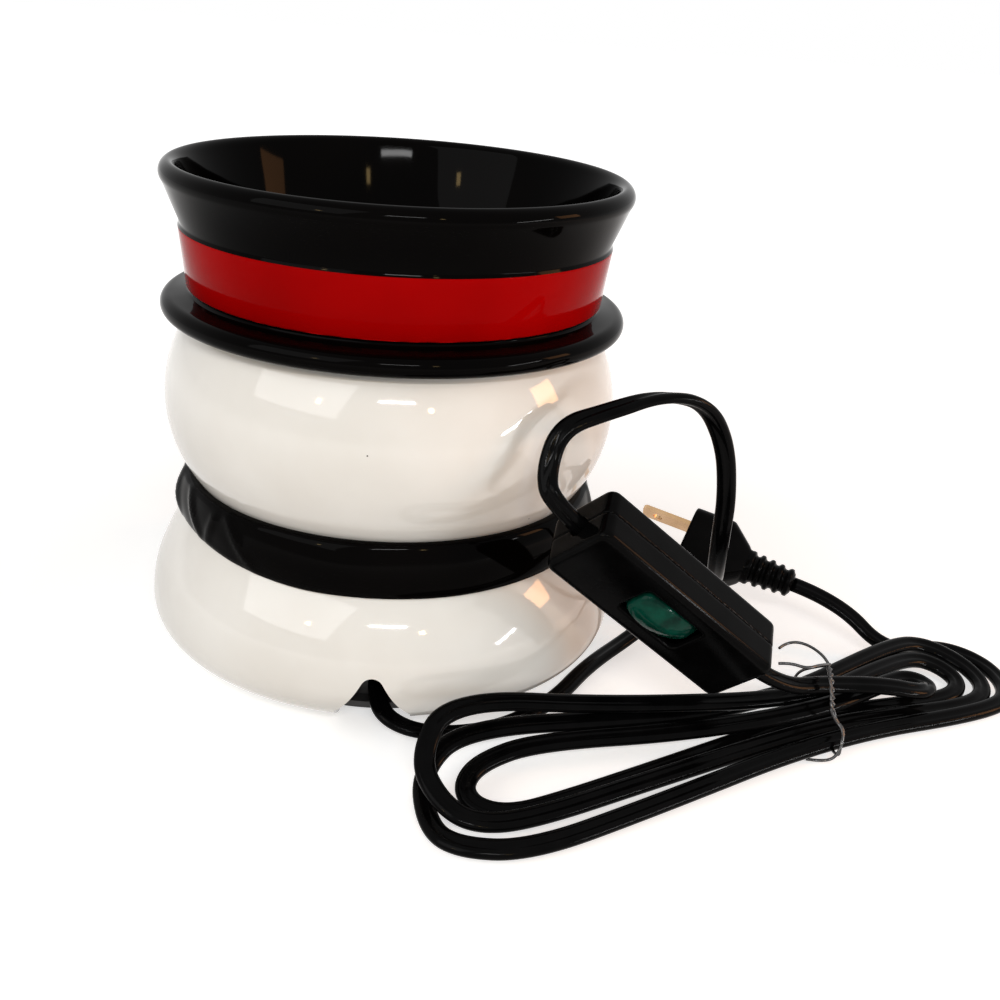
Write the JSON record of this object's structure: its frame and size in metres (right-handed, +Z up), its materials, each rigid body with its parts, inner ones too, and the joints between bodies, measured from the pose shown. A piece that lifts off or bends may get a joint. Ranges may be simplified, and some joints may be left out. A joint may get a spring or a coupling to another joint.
{
  "type": "wax melt warmer",
  "caption": "Ceramic electric wax warmer: a hat-shaped dish lifts off a heating plate in a rounded body with a moulded scarf, on a cord with an inline rocker switch, tied hank and plug.",
  "frame": {"origin": "centre of the feet's undersides, on the table", "axes": "+Z up along the body's axis, -Y towards the cord notch"},
  "size_m": [0.2661, 0.1891, 0.1502],
  "materials": {
    "white_glaze": "gloss",
    "black_glaze": "gloss",
    "spun_aluminium": "satin",
    "silicone": "matt",
    "mica": "satin",
    "resistance_alloy": "satin",
    "fibre_pad": "matt",
    "steel": "satin",
    "fuse_case": "satin",
    "lead_sleeve": "matt",
    "splice_cap": "matt",
    "cover_plastic": "matt",
    "foot_rubber": "matt",
    "black_pvc": "gloss",
    "switch_plastic": "satin",
    "green_lens": "gloss",
    "contact_metal": "satin",
    "lamp_glass": "clear"
  },
  "bodies": {
    "base": {"body_shell": "white_glaze", "heating_plate": "spun_aluminium", "plate_gasket": "silicone", "mica_upper": "mica", "mica_lower": "mica", "heater_ribbon": "resistance_alloy", "insulation_pad": "fibre_pad", "clamp_plate": "steel", "tie_rod": "steel", "rod_nuts": "steel", "rod_washers": "steel", "fuse_strap": "steel", "clamp_screws": "steel", "switch_screws": "steel", "thermal_fuse": "fuse_case", "heater_leads": "lead_sleeve", "switch_wires": "lead_sleeve", "wire_splices": "splice_cap", "base_cover": "cover_plastic", "cord_clamp": "cover_plastic", "rubber_feet": "foot_rubber", "cord_tail": "black_pvc", "cord_lead": "black_pvc", "cord_hank": "black_pvc", "twist_tie": "black_pvc", "plug_body": "black_pvc", "switch_top_shell": "switch_plastic", "switch_bottom_shell": "switch_plastic", "lever_post": "contact_metal", "line_terminal": "contact_metal", "plug_blades": "contact_metal", "neon_lamp": "lamp_glass"},
    "dish": {"hat_dish": "black_glaze"},
    "rocker": {"rocker": "green_lens", "rocker_plunger": "contact_metal"},
    "lever": {"contact_lever": "contact_metal"}
  },
  "joints": [
    {"name": "dish_lift", "type": "slide", "parent": "base", "child": "dish", "axis": [0, 0, 1], "range_m": [0, 0.06]},
    {"name": "rocker_tilt", "type": "hinge", "parent": "base", "child": "rocker", "pos_m": [0.07899, -0.06524, 0.04812], "axis": [0.628, -0.4281, 0.6499], "range_deg": [-16, 0]},
    {"name": "lever_tilt", "type": "hinge", "parent": "base", "child": "lever", "pos_m": [0.08015, -0.0591, 0.05104], "axis": [0.628, -0.4281, 0.6499], "range_deg": [0, 12]}
  ],
  "couplings": [
    {"joint": "lever_tilt", "follows": "rocker_tilt", "ratio": -0.75}
  ]
}
